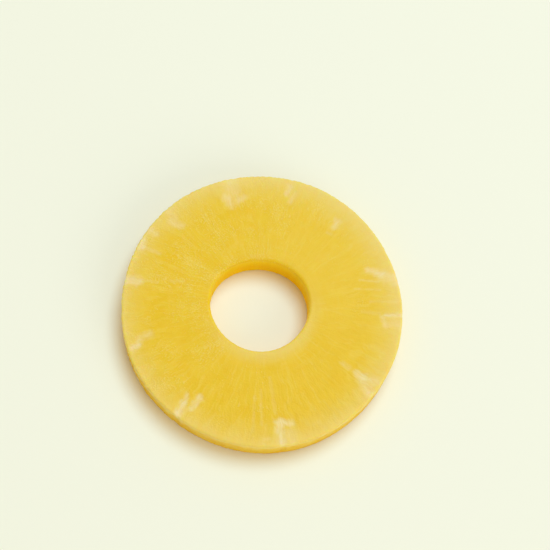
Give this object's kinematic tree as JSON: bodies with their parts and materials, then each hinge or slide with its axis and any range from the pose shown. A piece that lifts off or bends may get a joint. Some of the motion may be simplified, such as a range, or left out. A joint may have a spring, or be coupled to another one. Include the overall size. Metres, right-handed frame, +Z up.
{
  "type": "pineapple ring",
  "caption": "Flat round slice of peeled and cored pineapple, with a round hole through its middle; it lies on its lower face.",
  "frame": {"origin": "middle of the lower cut face, which lies on the surface that holds the slice", "axes": "+Z up through the cored hole, square to the two cut faces; +X and +Y lie in the lower face, with an eye streak of the rim near +X"},
  "size_m": [0.0798, 0.0802, 0.0096],
  "materials": {
    "flesh": "moist translucent fruit flesh, yellow, with paler fibres and eye streaks"
  },
  "bodies": {
    "root": {"pineapple_ring": "flesh"}
  },
  "joints": []
}
